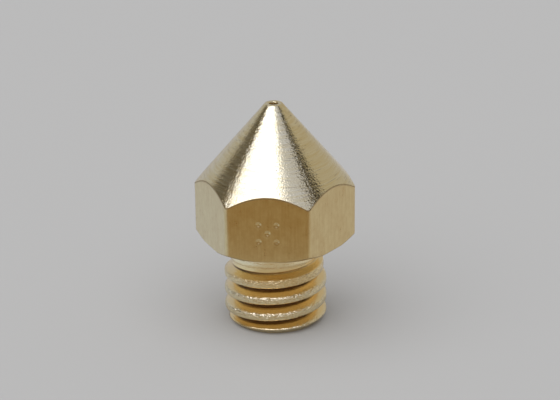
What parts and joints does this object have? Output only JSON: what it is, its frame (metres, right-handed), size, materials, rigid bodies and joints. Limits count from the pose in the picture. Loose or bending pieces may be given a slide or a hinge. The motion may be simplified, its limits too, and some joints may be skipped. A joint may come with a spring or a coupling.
{
  "type": "extruder nozzle",
  "caption": "Threaded brass nozzle with a hexagonal wrench collar and a conical tip, for a desktop 3D printer's hotend.",
  "frame": {"origin": "on the nozzle's axis, in the plane of the threaded end's face", "axes": "+Z along the axis from the threaded end to the tip, -Y out of the wrench flat with the size mark"},
  "size_m": [0.0092, 0.008, 0.013],
  "materials": {
    "brass": "turned and drawn bare brass"
  },
  "bodies": {
    "root": {"nozzle": "brass"}
  },
  "joints": []
}
